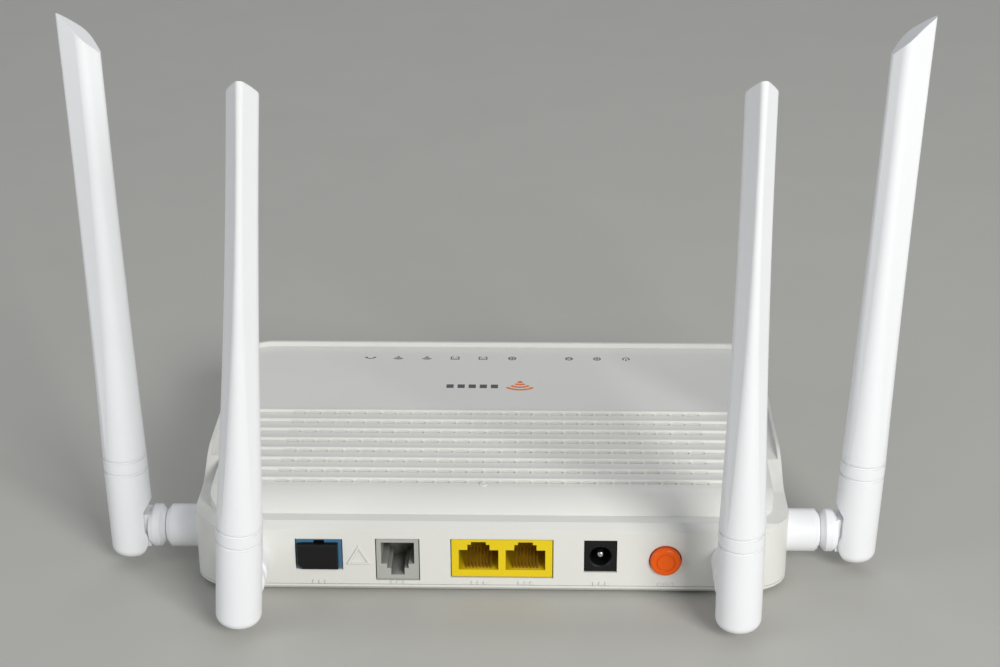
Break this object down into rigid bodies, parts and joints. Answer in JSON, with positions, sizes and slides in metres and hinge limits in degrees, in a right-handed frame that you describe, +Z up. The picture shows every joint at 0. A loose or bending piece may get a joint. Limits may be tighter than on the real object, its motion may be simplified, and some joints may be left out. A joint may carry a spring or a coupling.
{
  "type": "optical network terminal",
  "caption": "Flat white fibre gateway with folding antennas, ribbed vented top, and fibre, phone, network and DC sockets beside a round power button.",
  "frame": {"origin": "middle of the housing outline, on the plane it rests on", "axes": "+Z up; the port panel faces -Y and the indicator edge +Y; +X is to the right of a person who faces the ports"},
  "size_m": [0.2427, 0.1611, 0.1729],
  "materials": {
    "white_plastic": "fine satin texture, warm white",
    "antenna_plastic": "smooth semi-gloss, cool white",
    "grey_rubber": "matte",
    "steel": "plated",
    "label": "blank printed film",
    "board": "solder mask",
    "tin_plate": "tinned sheet",
    "chip": "moulded epoxy",
    "bare_aluminium": "extruded",
    "capacitor_sleeve": "shrink sleeve",
    "ferrite": "sintered",
    "black_plastic": "moulded",
    "lamp": "clear epoxy",
    "clear_plastic": "clear acrylic",
    "blue_plastic": "moulded",
    "ceramic_sleeve": "ground zirconia",
    "gold_plate": "gold plated",
    "grey_plastic": "moulded",
    "yellow_plastic": "moulded",
    "orange_plastic": "moulded",
    "brass": "drawn",
    "lead_jacket": "extruded jacket"
  },
  "bodies": {
    "housing": {"alignment_sleeve": "ceramic_sleeve", "board_screws": "steel", "bottom_cover": "white_plastic", "cover_screws": "steel", "crystals": "tin_plate", "dc_inlet": "black_plastic", "dc_pin": "steel", "fibre_receptacle": "blue_plastic", "gateway_processor": "chip", "heat_sink": "bare_aluminium", "indicator_lamps": "lamp", "inner_left_bushing": "antenna_plastic", "inner_left_lead": "lead_jacket", "inner_right_bushing": "antenna_plastic", "inner_right_lead": "lead_jacket", "lan_contacts": "gold_plate", "lan_jack": "yellow_plastic", "lan_transformers": "chip", "lead_plugs": "gold_plate", "light_guide": "clear_plastic", "main_board": "board", "memory_chips": "chip", "optical_module": "gold_plate", "outer_left_bushing": "antenna_plastic", "outer_left_lead": "lead_jacket", "outer_right_bushing": "antenna_plastic", "outer_right_lead": "lead_jacket", "phone_contacts": "gold_plate", "phone_jack": "grey_plastic", "phone_line_chip": "chip", "power_switch": "black_plastic", "processor_shield": "tin_plate", "radio_chips": "chip", "radio_shield": "tin_plate", "rating_label": "label", "reset_switch": "black_plastic", "rubber_feet": "grey_rubber", "supply_capacitors": "capacitor_sleeve", "supply_inductors": "ferrite", "top_cover": "white_plastic"},
    "dust_cap": {"dust_cap": "black_plastic"},
    "power_button": {"power_button": "orange_plastic"},
    "outer_left_swivel": {"outer_left_swivel": "antenna_plastic"},
    "outer_left_antenna": {"outer_left_shell": "antenna_plastic", "outer_left_hinge_pin": "steel", "outer_left_radiator": "brass"},
    "inner_left_swivel": {"inner_left_swivel": "antenna_plastic"},
    "inner_left_antenna": {"inner_left_shell": "antenna_plastic", "inner_left_hinge_pin": "steel", "inner_left_radiator": "brass"},
    "inner_right_swivel": {"inner_right_swivel": "antenna_plastic"},
    "inner_right_antenna": {"inner_right_shell": "antenna_plastic", "inner_right_hinge_pin": "steel", "inner_right_radiator": "brass"},
    "outer_right_swivel": {"outer_right_swivel": "antenna_plastic"},
    "outer_right_antenna": {"outer_right_shell": "antenna_plastic", "outer_right_hinge_pin": "steel", "outer_right_radiator": "brass"}
  },
  "joints": [
    {"name": "outer_left_turn", "type": "hinge", "parent": "housing", "child": "outer_left_swivel", "pos_m": [-0.1106, -0.0406, 0.0124], "axis": [-1, 0, 0], "range_deg": [-90, 90]},
    {"name": "inner_left_turn", "type": "hinge", "parent": "housing", "child": "inner_left_swivel", "pos_m": [-0.072, -0.0816, 0.0124], "axis": [0, -1, 0], "range_deg": [-40, 94]},
    {"name": "inner_right_turn", "type": "hinge", "parent": "housing", "child": "inner_right_swivel", "pos_m": [0.072, -0.0816, 0.0124], "axis": [0, 1, 0], "range_deg": [-44, 90]},
    {"name": "outer_right_turn", "type": "hinge", "parent": "housing", "child": "outer_right_swivel", "pos_m": [0.1106, -0.0406, 0.0124], "axis": [-1, 0, 0], "range_deg": [-90, 90]},
    {"name": "outer_left_fold", "type": "hinge", "parent": "outer_left_swivel", "child": "outer_left_antenna", "pos_m": [-0.1106, -0.0406, 0.009], "axis": [0, 1, 0], "range_deg": [-88.6, 1.3]},
    {"name": "inner_left_fold", "type": "hinge", "parent": "inner_left_swivel", "child": "inner_left_antenna", "pos_m": [-0.07224, -0.0816, 0.00901], "axis": [-0.9974, 0, 0.0715], "range_deg": [-85, 5]},
    {"name": "inner_right_fold", "type": "hinge", "parent": "inner_right_swivel", "child": "inner_right_antenna", "pos_m": [0.07204, -0.0816, 0.009], "axis": [-0.9999, 0, -0.0122], "range_deg": [-85, 5]},
    {"name": "outer_right_fold", "type": "hinge", "parent": "outer_right_swivel", "child": "outer_right_antenna", "pos_m": [0.1106, -0.0406, 0.009], "axis": [0, -1, 0], "range_deg": [-87.6, 2.3]},
    {"name": "power_button_press", "type": "slide", "parent": "housing", "child": "power_button", "axis": [0, 1, 0], "range_m": [0, 0.0025], "stiffness_N_per_m": 1000},
    {"name": "dust_cap_pull", "type": "slide", "parent": "housing", "child": "dust_cap", "axis": [0, 1, 0], "range_m": [-0.014, 0]}
  ]
}
